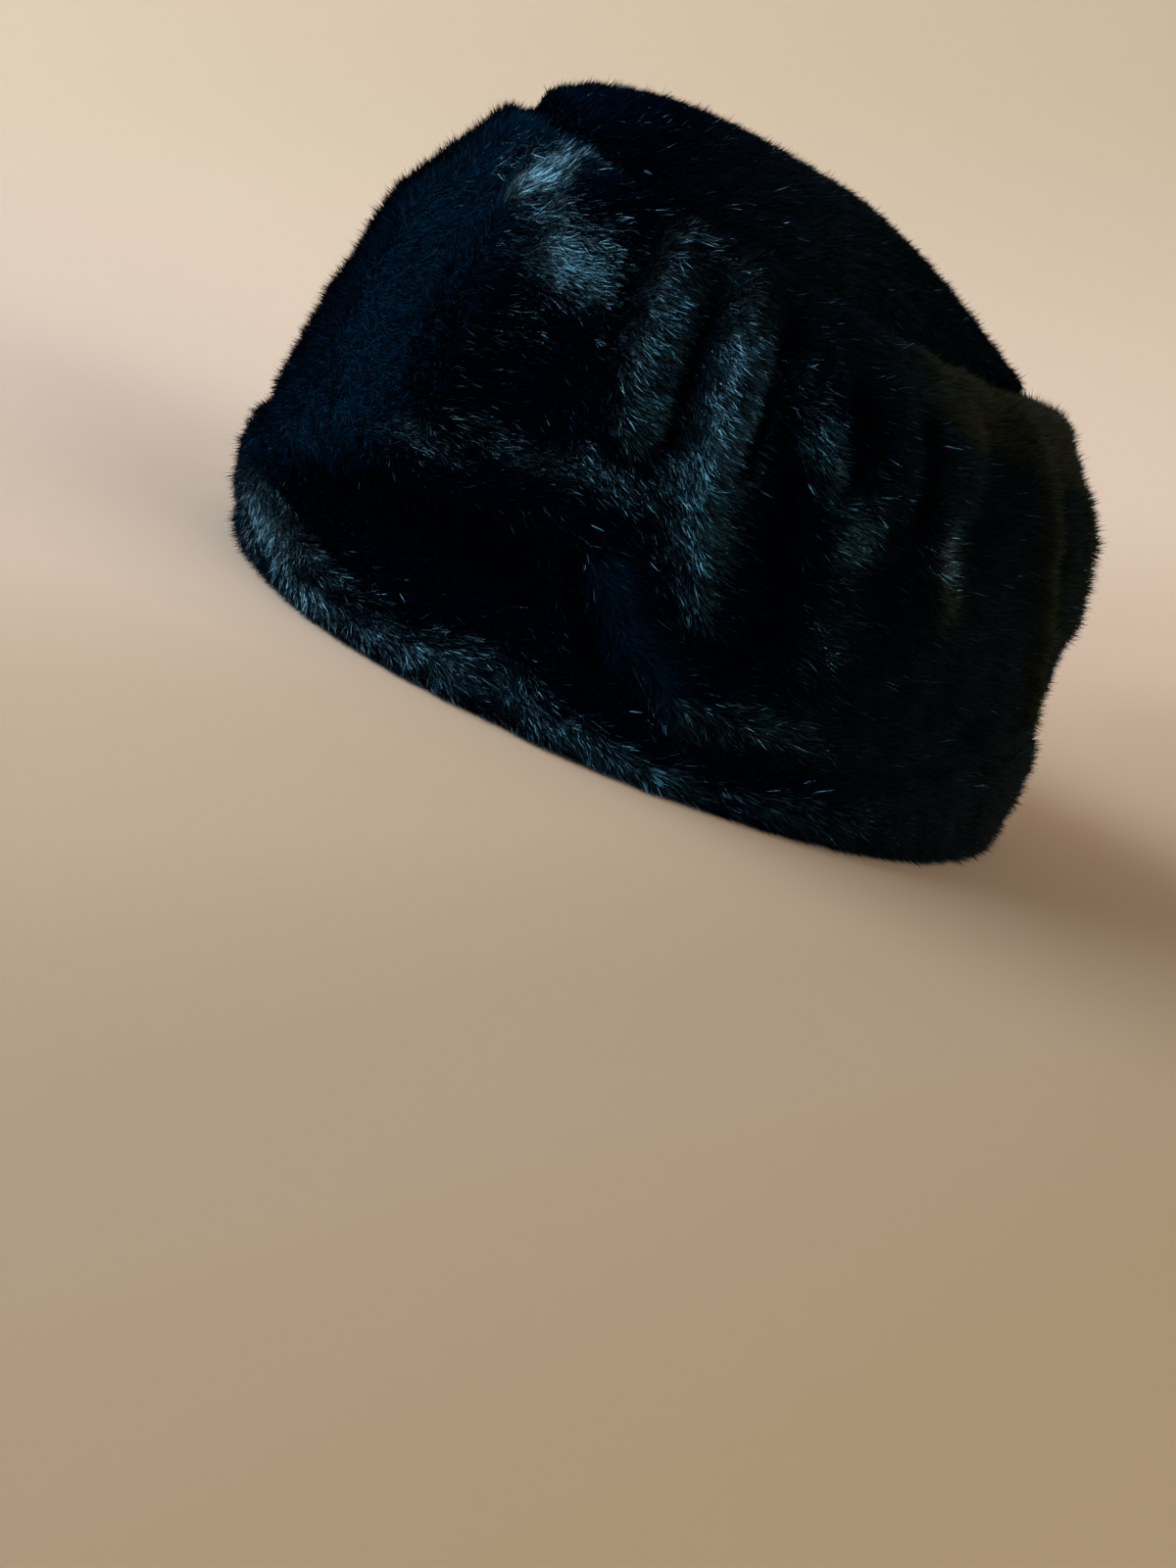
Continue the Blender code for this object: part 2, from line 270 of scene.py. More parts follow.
# On the roll: where hair grows along its section, and how its lower part droops, lengthens and leans less
ROLL_HAIRY = (1.2, 9.5)
ROLL_DROOP, ROLL_DROOP_LOW, ROLL_LOW = 4, 14, (3.0, 2.0)
ROLL_DROOP_FRONT, ROLL_FRONT = 10, (56, 20)
ROLL_LONGER, ROLL_LEANS_LESS, ROLL_UNDER = 0.15, 14, (3.4, 1.2)
ROLL_BRUSHED = 0.1

# The surface is a little uneven: waves across it in several directions, as shares of the lump's height
LUMP_SIZE, LUMP_HEIGHT = 0.016, 0.00055
LUMPS = (
    # share, along x, along y, along z, start
    (0.50, 0.7, 0.5, 0.5, 0.4),
    (0.45, -0.4, 0.9, 0.3, 2.1),
    (0.40, 0.8, -0.5, 0.9, 4.0),
    (0.30, 0.3, 1.2, -1.1, 1.2),
    (0.30, 1.4, 0.6, -0.8, 5.1),
    (0.25, -1.3, 1.3, 1.2, 3.3),
)

# Where the pile was brushed glossy: its middle, its reach round and up, and the share of glossy hairs there.
# A share below 0 is where it stands dull.
SIDE_GLOSS = (
    # turn, up, reach round, reach up, share
    (46, 0.90, 6, 0.06, 1.0),
    (55, 0.86, 5, 0.04, 0.5),
    (63, 0.81, 7, 0.06, 1.0),
    (38, 0.92, 4, 0.04, 0.35),
    (62, 0.66, 5, 0.04, 0.15),
    (76, 0.86, 5, 0.08, 0.75),
    (79, 0.76, 5, 0.08, 0.80),
    (82, 0.66, 4, 0.06, 0.80),
    (85, 0.90, 3, 0.05, 0.7),
    (88, 0.80, 5, 0.08, 1.0),
    (90, 0.70, 5, 0.08, 1.0),
    (91, 0.60, 5, 0.08, 1.0),
    (93, 0.50, 4, 0.08, 0.75),
    (96, 0.38, 3, 0.06, 0.40),
    (98, 0.81, 3, 0.05, 0.4),
    (102, 0.74, 4, 0.05, 0.45),
    (108, 0.68, 4, 0.05, 0.35),
    (113, 0.60, 4, 0.05, 0.40),
    (111, 0.38, 6, 0.08, 0.12),
    (127, 0.63, 4, 0.05, 0.70),
    (80, 0.51, 8, 0.03, 0.45),
    (67, 0.47, 8, 0.03, 0.35),
    (55, 0.41, 6, 0.03, 0.35),
    (88, 0.27, 6, 0.09, -0.9),
    (101, 0.15, 6, 0.04, 0.30),
    (112, 0.20, 8, 0.05, 0.20),
    (60, 0.24, 20, 0.09, -1.0),
    (67, 0.62, 5, 0.13, -0.9),
    (105, 0.40, 7, 0.10, -0.8),
    (99, 0.60, 3, 0.10, -0.8),
)
ROLL_GLOSS = (
    # turn, along the section, reach round, reach along, share
    (14, 2.6, 12, 1.4, 0.45),
    (32, 3.6, 14, 2.4, 1.00),
    (40, 5.5, 14, 1.8, 0.70),
    (46, 2.8, 16, 1.5, 1.00),
    (70, 3.2, 16, 1.6, 0.75),
    (92, 3.0, 14, 1.4, 0.80),
    (118, 3.2, 16, 1.4, 0.30),
)
GLOSS_EVERYWHERE, TIP_GLOSS = 0.02, 0.004
SATIN_MOST, SATIN_WITH_GLOSS = 0.3, 1.5

# Brushed pile lies across this direction, which is why it shines
BRUSHED_ACROSS = (0.72, -0.55, 0.42)
BRUSHED_SHARE, BRUSHED_LEANS = 0.85, (38, 84)
LEAST_RISE = 0.10

# Fibre colours, from warm to cool: blue-black is the fibre's own colour; the teal, grey and olive stops are
# painted light colour, teal where the cool window light falls in front, grey and olive where the warm room
# light falls behind
OLIVE, GREY, BLUE_BLACK, TEAL = 0.0, 0.15, 0.5, 1.0
FIBRE_DYES_AND_LIGHT = (
    # cool, red, green, blue
    (OLIVE, 0.0165, 0.0190, 0.0120),
    (GREY, 0.0045, 0.0088, 0.0115),
    (BLUE_BLACK, 0.0004, 0.0022, 0.0072),
    (TEAL, 0.0006, 0.0100, 0.0260),
)
# Range of the fibre's tone: random from hair to hair, and lowest at the roots as painted shade
TONE_AND_ROOT_SHADE = (0.4, 1.6)

# Kinds of fibre. Hairs are shared out among the first three by gloss, and dull teal ones take the last.
FIBRE_KINDS = (
    # kind, shine, roughness, sheen
    ("dull", 0.0, 0.50, 0.0),
    ("satin", 0.3, 0.45, 0.0),
    ("glossy", 0.9, 0.34, 0.0),
    ("hazy", 0.0, 0.50, 0.26),
)
FIBRE_ROUGH_FROM, FIBRE_ROUGH_TO = 0.8, 1.2
# The hazy fibres' sheen is tinted teal, the colour of the cool window light: a painted light colour in the
# sheen
HAZY_TINT, HAZY_ROUGHNESS = (0.04, 0.42, 1.0, 1), 0.4
FIBRE_IOR = 1.7
# The glint tint gives every fibre's highlight the cool blue of the window light: painted light colour in the
# highlight
FIBRE_GLINT = (0.22, 0.70, 1.0, 1)

# The ground under the pile and the knitted back: colour, grain and bump
GROUND_COLOUR, GROUND_DARKEST = (0.0016, 0.0020, 0.0026), 0.4
GROUND_GRAIN, GROUND_DETAIL, GROUND_BUMP, GROUND_BUMP_DEPTH = 900, 3, 0.8, 0.0008
GROUND_ROUGHNESS = 0.8
BACKING_COLOUR, BACKING_ROUGHNESS = (0.014, 0.014, 0.016, 1), 0.9
BACKING_GRAIN, BACKING_BUMP, BACKING_BUMP_DEPTH = 700, 0.5, 0.0005

# How far round the side the teal reaches, at each height: the teal is painted light, the colour of the cool
# window light on the front
TEAL_EDGE = (
    # up, turn
    (0.00, 26),
    (0.20, 32),
    (0.27, 44),
    (0.36, 54),
    (0.60, 55),
    (0.75, 57),
    (1.00, 58),
)
TEAL_EASES, TEAL_PAST_EDGE = 22, 4
TEAL_MIDDLE, TEAL_REST, TEAL_SIDE = 0.3, 0.7, (2, 22)
# How far round the roll the painted teal light reaches: end and reach, in degrees
ROLL_TEAL = (36, 24)

# Turns where the pile changes toward the back: start and reach, in degrees. Toward the back it grows duller
# and its painted light colour warmer, grey to olive; glossy ridges are painted lighter grey as a painted
# highlight.
DULL, DULL_TAKES_GLOSS = (112, 24), 0.9
OLIVE_BEGINS = (102, 30)
SIDE_BACK, ROLL_BACK, BACK_WARMER = (145, 30), (140, 30), 0.06
RIDGE_GREYS, RIDGE_GREY = (66, 8), 0.3
BRUSH_ENDS, BRUSH_LOSES = (62, 10), 0.75

# The crown above the back folds: warmer in painted light colour, and less glossy
CROWN_UP, CROWN_TURN = (0.82, 0.08), (68, 12)
CROWN_WARMER, CROWN_TAKES_GLOSS = 0.2, 0.5

# The tip is painted cooler toward its front, as cool window light: the least, the rest, and where along Y it
# changes
TIP_COOL, TIP_COOL_REST, TIP_COOL_FROM, TIP_COOL_REACH = 0.18, 0.48, 0.2, 0.1

# The smooth fold that hangs above the roll, and how much bluer its pile is painted: painted light on the fold
HAZY_FOLD = ((0.36, 86), (0.18, 96))
HAZY_WIDTH, HAZY_COOL = 0.006, 0.30

# Nap of the side: how far it droops from straight round the hat, in degrees, at the seam and at the foot
SIDE_NAP = (
    # turn, at seam, at foot
    (0, -50, 10),
    (35, -48, 5),
    (52, -40, 5),
    (66, -8, 10),
    (78, 12, 15),
    (95, 14, 15),
    (120, 4, 10),
    (150, -12, 0),
    (180, -16, 0),
    (240, -10, 5),
    (320, -30, 5),
    (360, -50, 10),
)

# Nap of the tip: toward the back, and turning to the near side by a place behind the middle
TIP_NAP = (0.12, 1.0, 0.0)
TIP_NAP_TURNS, TIP_NAP_TURNS_BY = 0.9, 0.05

# Camera: its place, its aim, and a turn about the line of sight that sets the hat as steep as in the photo
CAMERA_PLACE = (0.576, 0.0, 0.133)
CAMERA_AIM = (0.0, 0.0078, -0.0329)
CAMERA_TURN = math.radians(23.6)
CAMERA_LENS = 47.8
SENSOR = 36.0
NEAR_CLIP = 0.01

# Lights: a cool one before the hat, a warm one behind it, and a faint even one all round
LIT_PLACE = (0, 0, 0.07)
LIGHTS = (
    # name, place, size, energy, colour
    ("window_light", (0.24, -2.2, 1.24), (2.1, 2.1), 120.0, (0.80, 0.94, 1.0)),
    ("room_light", (1.0, 2.2, 1.1), (2.8, 1.6), 60.0, (1.0, 0.92, 0.76)),
)
WORLD_COLOUR, WORLD_STRENGTH = (1.0, 0.97, 0.94, 1), 0.34

# Backdrop: a floor swept up into walls, close behind the hat and far off elsewhere
ROOM_BEHIND, ROOM_BEFORE, ROOM_HALF_WIDTH, ROOM_TOP = 0.85, 6.0, 6.0, 3.0
ROOM_SQUARENESS, ROOM_TURNS = 8, 240
SWEEP_RADIUS, SWEEP_STEPS, FLOOR_INSET = 0.5, 24, 1.04
PAINT_ROUGHNESS, PAINT_SHINE = 0.9, 0.1

# Its paint, by metres along a direction that rises and runs toward the front and the wall behind. Darker
# toward the bottom of the view, and on the floor toward the window light: painted shade.
PAINT_RISE = (-0.259, -0.397, 0.881)
PAINT_AND_SHADE = (
    # place, red, green, blue
    (-1.500, 0.850, 0.740, 0.640),
    (-0.800, 0.550, 0.440, 0.350),
    (-0.300, 0.295, 0.212, 0.132),
    (-0.120, 0.295, 0.212, 0.132),
    (-0.071, 0.320, 0.235, 0.172),
    (-0.028, 0.395, 0.292, 0.220),
    (0.031, 0.490, 0.375, 0.308),
    (0.123, 0.550, 0.435, 0.368),
    (0.420, 0.475, 0.378, 0.288),
    (0.800, 0.475, 0.378, 0.288),
    (1.300, 0.330, 0.270, 0.220),
    (2.200, 0.850, 0.740, 0.640),
)


def table_value(rows, at, column, flat_ends=False):
    """One column of a table at any values of its first column, through smooth curves."""
    table = np.array(rows, float)
    last = len(table) - 1
    slopes = np.zeros(len(table))
    for k in range(len(table)):
        low, high = table[max(k - 1, 0)], table[min(k + 1, last)]
        slopes[k] = (high[column] - low[column]) / (high[0] - low[0])
    if flat_ends:
        slopes[[0, last]] = 0.0
    i = np.clip(np.searchsorted(table[:, 0], at, side="right") - 1, 0, last - 1)
    span = table[i + 1, 0] - table[i, 0]
    t = np.clip((at - table[i, 0]) / span, 0.0, 1.0)
    start, end = table[i, column], table[i + 1, column]
    first = (start - end) + slopes[i] * span
    second = (start - end) + slopes[i + 1] * span
    return start + (end - start) * t + t * (1 - t) * ((1 - t) * first - t * second)


def ease(t):
    t = np.clip(t, 0.0, 1.0)
    return t * t * (3 - 2 * t)


def ease_from(value, start, reach):
    """Rises from 0 at the start to 1 a reach beyond it."""
    return ease((value - start) / reach)


def ease_to(value, end, reach):
    """Falls from 1 a reach before the end to 0 at it."""
    return ease((end - value) / reach)


def around(turn, front, back, side):
    """The value between the front's, the side's and the back's."""
    along = np.cos(np.radians(turn))
    end = np.where(along > 0, front, back)
    return side + (end - side) * along**2


def on_ellipse(turn, length, width, forward=0.0):
    angle = np.radians(turn)
    return width / 2 * np.sin(angle), -length / 2 * np.cos(angle) - forward


def outward(turn, lift):
    angle = np.radians(turn)
    x, y = np.sin(angle) / HAT_WIDTH, -np.cos(angle) / HAT_LENGTH
    level = np.cos(lift) / np.hypot(x, y)
    return x * level, y * level, np.sin(lift)


def mirrored(turn):
    turn = np.mod(turn, 360.0)
    return np.where(turn <= 180, turn, 360 - turn)


def line_distance(x, y, start, end):
    along = (end[0] - start[0], end[1] - start[1])
    away_x, away_y = x - start[0], y - start[1]
    t = (away_x * along[0] + away_y * along[1]) / (along[0] ** 2 + along[1] ** 2)
    t = np.clip(t, 0.0, 1.0)
    return np.hypot(away_x - t * along[0], away_y - t * along[1])


def gloss_share(patches, turn, along):
    """The share of glossy hairs at places given by turn and by how far along the wall they are."""
    share = GLOSS_EVERYWHERE + 0 * turn
    for at, middle, reach, reach_along, most in patches:
        far = ((mirrored(turn) - at) / reach) ** 2 + ((along - middle) / reach_along) ** 2
        if most > 0:
            share = np.maximum(share, most * np.exp(-far))
        else:
            share = share * (1 + most * np.exp(-far))
    return share


def teal_share(turn):
    """How strong the painted teal light is at each turn: little in the middle of the front and on the far
    side.
    """
    near_side = np.mod(turn, 360.0) <= 180
    return TEAL_MIDDLE + TEAL_REST * ease_from(mirrored(turn), *TEAL_SIDE) * near_side


def fold_depth(folds, turn, up, height, lining=False):
    """How deep the wall is pressed in. The lining follows the pressed folds only, and widely."""
    hidden = np.maximum(-np.sin(np.radians(turn)), 0.0)
    x = np.radians(mirrored(turn) - HIDDEN_SHIFT * hidden) * MEAN_RADIUS
    y = up * height
    pressed, raised = np.zeros_like(x * y), np.zeros_like(x * y)
    for up_from, turn_from, up_to, turn_to, width, share in folds:
        if width <= NARROW_FOLD and share > DEEP_FOLD:
            width, share = width * NARROW_BECOMES, share * DEEP_BECOMES
        start = (math.radians(turn_from) * MEAN_RADIUS, up_from * height)
        end = (math.radians(turn_to) * MEAN_RADIUS, up_to * height)
        width = max(width, LINING_WIDTH) if lining else width
        far = line_distance(x, y, start, end) / (width * PLUSH)
        part = (abs(share) * np.exp(-far * far)) ** FOLD_BLEND
        if share > 0:
            pressed += part
        else:
            raised += part
    if lining:
        depth = LINING_FOLLOWS * pressed ** (1 / FOLD_BLEND)
    else:
        depth = pressed ** (1 / FOLD_BLEND) - raised ** (1 / FOLD_BLEND)
    return FOLD_DEPTH * depth * (1 - (1 - HIDDEN_SHARE) * hidden)


def seam_height(turn):
    return SEAM_HEIGHT + SEAM_FALL / 2 * np.cos(np.radians(turn))


def roll_height(turn):
    return ROLL_HEIGHT * table_value(ROLL_SHAPE, mirrored(turn), 1, True)


def side_points(turn, rise, thick=0.0):
    """Points of the side's outside, or of its lining: rise runs from its foot to the seam."""
    foot = roll_height(turn) + GAP
    top = seam_height(turn)
    up = (foot + rise * (top - foot)) / top
    reach = around(turn, *(table_value(SIDE_SHAPE, up, k) for k in (1, 2, 3)))
    pinch = np.minimum(rise / PINCH, 1.0)
    reach = 1 + (reach - 1) * np.sqrt(1 - (1 - pinch) ** 2)
    foot_x, foot_y = on_ellipse(turn, FOOT_LENGTH - 2 * thick, FOOT_WIDTH - 2 * thick)
    seam_x, seam_y = on_ellipse(turn, SEAM_LENGTH, SEAM_WIDTH, SEAM_FORWARD)
    fade = ease(rise / FOOT_FADE) * ease((1 - rise) / SEAM_FADE)
    press = -fade * fold_depth(SIDE_FOLDS + SIDE_SLITS, turn, up, SEAM_HEIGHT, lining=thick > 0)
    out_x, out_y, out_z = outward(turn, math.radians(CROWN_LIFT) * ease_from(up, *CROWN_LEVELS))
    x = seam_x + (foot_x - seam_x) * reach + press * out_x
    y = seam_y + (foot_y - seam_y) * reach + press * out_y
    z = foot + rise * (top - thick - foot) + press * out_z
    return np.stack([x, y, z], axis=-1)


def tip_points(turn, inward, below=0.0):
    """Points of the tip: inward runs from the seam to the middle."""
    edge_x, edge_y = on_ellipse(turn, SEAM_LENGTH - 2 * GAP, SEAM_WIDTH - 2 * GAP)
    x, y = edge_x * (1 - inward), edge_y * (1 - inward)
    plane = SEAM_HEIGHT - SEAM_FALL * y / SEAM_LENGTH
    rise = around(turn, *(table_value(TIP_SHAPE, inward, k) for k in (1, 2, 3)))
    rise = rise + (1 - rise) * ease_from(inward, *TIP_EVENS)
    return np.stack([x, y - SEAM_FORWARD, plane + TIP_RISE * rise - below], axis=-1)


def roll_points(turn, along):
    """Points of the roll: along runs through the rows of its section and back to the first."""
    rows = np.array(ROLL_SECTION + ROLL_SECTION[:1])
    i = np.minimum(along.astype(int), len(rows) - 2)
    t = along - i
    out = rows[i, 0] + (rows[i + 1, 0] - rows[i, 0]) * t
    up = rows[i, 1] + (rows[i + 1, 1] - rows[i, 1]) * t
    reach = table_value(ROLL_SHAPE, mirrored(turn), 2, True)
    inner_x, inner_y = on_ellipse(turn, HEAD_LENGTH, HEAD_WIDTH)
    outer_x, outer_y = on_ellipse(turn, HAT_LENGTH, HAT_WIDTH)
    tuck = table_value(ROLL_SHAPE, mirrored(turn), 3, True)
    drawn_in = 1 - tuck * np.maximum(1 - up / TUCK_REACHES, 0.0)
    standing = ease_from(out, ROLL_REACHES_FROM, FOOT_SHARE - ROLL_REACHES_FROM)
    share = out * (1 + (reach * drawn_in - 1) * standing)
    outer = ease(along - ROLL_FIRST_OUTER) * ease(ROLL_LAST_OUTER - along)
    press = -outer * fold_depth(ROLL_FOLDS + ROLL_SLITS, turn, up, ROLL_HEIGHT)
    out_x, out_y, _ = outward(turn, 0.0)
    x = inner_x + (outer_x - inner_x) * share + press * out_x
    y = inner_y + (outer_y - inner_y) * share + press * out_y
    return np.stack([x, y, roll_height(turn) * up + 0 * x], axis=-1)


def unit(vectors):
    return vectors / np.maximum(np.linalg.norm(vectors, axis=-1, keepdims=True), 1e-12)


def surface(points, closed_rows=False):
    """Points of a grid, rows by turns, with outward normals and the direction round the hat."""
    before, after = np.roll(points, 1, axis=1), np.roll(points, -1, axis=1)
    round_hat = unit(after - before)
    if closed_rows:
        up = np.roll(points, -1, axis=0) - np.roll(points, 1, axis=0)
    else:
        up = np.gradient(points, axis=0)
    normals = unit(np.cross(round_hat, up))
    return {"points": points, "normals": normals, "round": round_hat}


def spread(count):
    """Shares from 0 to 1, closer together at both ends."""
    t = np.linspace(0, 1, count + 1)
    return t - ROW_BIAS * np.sin(2 * math.pi * t) / (2 * math.pi)


def lumps(points):
    """How far the surface rises and falls where the pile and its wadding are uneven."""
    height = 0.0
    for share, x, y, z, start in LUMPS:
        along = (points * (x, y, z)).sum(-1) * 2 * math.pi / LUMP_SIZE
        height = height + share * np.sin(along + start)
    return LUMP_HEIGHT * height


def ring_turns(count):
    return np.arange(count) * 360.0 / count


def add_body(name, rings, caps, materials, backing_rings=0):
    """A closed body through rings of points. The first rings may take the backing's material."""
    rows, count = rings.shape[:2]
    points = rings.reshape(-1, 3)
    steps = rows if caps is None else rows - 1
    row, column = np.meshgrid(np.arange(steps), np.arange(count), indexing="ij")
    above, after = (row + 1) % rows, (column + 1) % count
    corners = ((row, column), (row, after), (above, after), (above, column))
    faces = np.stack([r * count + c for r, c in corners], -1).reshape(-1, 4).tolist()
    slots = np.where(row < backing_rings - 1, 1, 0).reshape(-1).tolist()
    if caps is not None:
        start, end, top = len(points), len(points) + 1, (rows - 1) * count
        points = np.vstack([points, caps])
        for k in range(count):
            n = (k + 1) % count
            faces += [(n, k, start), (top + k, top + n, end)]
            slots += [1, 0]
    mesh = bpy.data.meshes.new(name)
    mesh.from_pydata(points, [], faces)
    mesh.polygons.foreach_set("use_smooth", [True] * len(faces))
    for material in materials:
        mesh.materials.append(material)
    if len(materials) > 1:
        mesh.polygons.foreach_set("material_index", slots)
    mesh.update()
    body = bpy.data.objects.new(name, mesh)
    bpy.context.scene.collection.objects.link(body)
    return body


def sample(grid, count, rng, keep_row=None):
    """Places spread evenly over a grid: their points, normals, directions round, and grid coordinates."""
    points = grid["points"]
    right = np.roll(points, -1, axis=1)
    sides = right[:-1] - points[:-1]
    rises = points[1:] - points[:-1]
    area = np.linalg.norm(np.cross(sides, rises), axis=-1)
    if keep_row is not None:
        area = area * keep_row[:-1, None]
    total = np.cumsum(area.ravel())
    cell = np.searchsorted(total, rng.random(count) * total[-1])
    row, column = np.divmod(np.minimum(cell, area.size - 1), area.shape[1])
    v, u = rng.random(count)[:, None], rng.random(count)[:, None]
    after = (column + 1) % area.shape[1]
    found = {}
    for key in ("points", "normals", "round"):
        g = grid[key]
        low = g[row, column] * (1 - u) + g[row, after] * u
        high = g[row + 1, column] * (1 - u) + g[row + 1, after] * u
        found[key] = low * (1 - v) + high * v
    found["normals"], found["round"] = unit(found["normals"]), unit(found["round"])
    found["row"], found["column"] = row + v[:, 0], column + u[:, 0]
    return found


def tuft_noise(places, rng):
    """One random number for each small cube of space, the same for all hairs in it."""
    shift = rng.random(3) * TUFT_SHIFT
    cells = np.floor(places / TUFT_SIZE + shift).astype(np.int64)
    mixed = np.bitwise_xor.reduce(cells * TUFT_PRIMES, axis=1)
    return rng.random(TUFT_NUMBERS)[mixed % TUFT_NUMBERS] * 2 - 1


def hairs(name, found, nap, length, lean, cool, gloss, brushed, materials, rng):
    """Straight tapering hairs at the places found, leaning along the nap.

    cool picks the fibre colour, from olive to teal: blue-black fibre under painted light colour.
    gloss is the share of glossy hairs, and brushed is how far the nap itself is turned, beside its lean.
    """
    roots, normals = found["points"], found["normals"]
    count = len(roots)
    nap = unit(nap - normals * (nap * normals).sum(-1, keepdims=True))
    across = np.cross(normals, nap)
    swing = SWING_BY_TUFT * tuft_noise(roots, rng) + SWING_BY_HAIR * rng.standard_normal(count)
    swing = np.radians(swing)[:, None]
    nap = nap * np.cos(swing) + across * np.sin(swing)
    across = np.cross(normals, nap)
    facing = np.array(BRUSHED_ACROSS)
    best = np.degrees(np.arctan2((normals * facing).sum(-1), -(nap * facing).sum(-1)))
    lean = lean + (np.clip(best, *BRUSHED_LEANS) - lean) * BRUSHED_SHARE * gloss
    lean = lean + LEAN_BY_TUFT * tuft_noise(roots, rng) + LEAN_BY_HAIR * rng.standard_normal(count)
    lean = np.clip(lean - STRAY_LIFT * (rng.random(count) < STRAYS), *LEAN_LIMITS)
    lean = np.radians(lean)[:, None]
    along = normals * np.cos(lean) + nap * np.sin(lean)
    brushed = (gloss * brushed + np.zeros(count))[:, None]
    along = unit(along - facing * (along * facing).sum(-1, keepdims=True) * brushed)
    along = unit(along + normals * np.maximum(LEAST_RISE - (along * normals).sum(-1, keepdims=True), 0.0))
    across = unit(np.cross(normals, along))
    uneven = LENGTH_LEAST + LENGTH_REST * rng.random(count) + TUFT_UNEVEN * tuft_noise(roots, rng)
    tips = roots + along * (length * uneven)[:, None]
    tips[:, 2] = np.maximum(tips[:, 2], FLOOR_CLEAR)
    turned_over = rng.standard_normal(count).clip(-TILT_MOST, TILT_MOST)[:, None]
    tilt = np.radians(TILT - TILT_BRUSHED * brushed) * turned_over
    flat = across * np.cos(tilt) + np.cross(along, across) * np.sin(tilt)
    flat *= (HAIR_WIDTH * (WIDTH_LEAST + WIDTH_REST * rng.random(count)) / 2)[:, None]
    points = np.stack([roots - flat, roots + flat, tips], axis=1).reshape(-1, 3)
    corners = np.arange(count * 3, dtype=np.int32)
    mesh = bpy.data.meshes.new(name)
    mesh.vertices.add(len(points))
    mesh.vertices.foreach_set("co", points.ravel().astype(np.float32))
    mesh.loops.add(corners.size)
    mesh.loops.foreach_set("vertex_index", corners)
    mesh.polygons.add(count)
    mesh.polygons.foreach_set("loop_start", corners[::3])
    # Each hair's tone is random, and lower at its root as painted shade deep in the pile
    for key, value, at_root in (("tone", rng.random(count), ROOT_TONE), ("cool", cool, 1.0)):
        layer = mesh.attributes.new(key, "FLOAT", "POINT")
        layer.data.foreach_set("value", np.outer(value, (at_root, at_root, 1)).ravel().astype(np.float32))
    for material in materials:
        mesh.materials.append(material)
    chance = gloss + GLOSS_BY_TUFT * gloss * tuft_noise(roots, rng)
    draw = rng.random(count)
    satin = np.minimum(SATIN_MOST, SATIN_WITH_GLOSS * chance)
    kind = (draw < chance).astype(np.int32) + (draw < chance + satin)
    hazy = (kind == 0) & (rng.random(count) < (cool - BLUE_BLACK) / (TEAL - BLUE_BLACK))
    kind = np.where(hazy, len(FIBRE_KINDS) - 1, kind)
    mesh.polygons.foreach_set("material_index", kind.astype(np.int32))
    mesh.update()
    body = bpy.data.objects.new(name, mesh)
    bpy.context.scene.collection.objects.link(body)
    return body


def set_ramp(ramp, rows):
    """Fills a colour ramp from rows of place, red, green and blue."""
    while len(ramp.elements) < len(rows):
        ramp.elements.new(0.5)
    for element, (place, red, green, blue) in zip(ramp.elements, rows):
        element.position, element.color = place, (red, green, blue, 1)


def plush_material(name):
    """The ground of the plush: near black, with a fine uneven pile."""
    material = bpy.data.materials.new(name)
    material.use_nodes = True
    nodes, links = material.node_tree.nodes, material.node_tree.links
    shader = nodes["Principled BSDF"]
    shader.inputs["Roughness"].default_value = GROUND_ROUGHNESS
    shader.inputs["Specular IOR Level"].default_value = 0.0
    place = nodes.new("ShaderNodeNewGeometry")
    pile = nodes.new("ShaderNodeTexNoise")
    pile.inputs["Scale"].default_value = GROUND_GRAIN
    pile.inputs["Detail"].default_value = GROUND_DETAIL
    links.new(place.outputs["Position"], pile.inputs["Vector"])
    tone = nodes.new("ShaderNodeValToRGB")
    tone.color_ramp.elements[0].color = (*(c * GROUND_DARKEST for c in GROUND_COLOUR), 1)
    tone.color_ramp.elements[1].color = (*GROUND_COLOUR, 1)
    links.new(pile.outputs["Fac"], tone.inputs["Fac"])
    links.new(tone.outputs["Color"], shader.inputs["Base Color"])
    bump = nodes.new("ShaderNodeBump")
    bump.inputs["Strength"].default_value = GROUND_BUMP
    bump.inputs["Distance"].default_value = GROUND_BUMP_DEPTH
    links.new(pile.outputs["Fac"], bump.inputs["Height"])
    links.new(bump.outputs["Normal"], shader.inputs["Normal"])
    return material


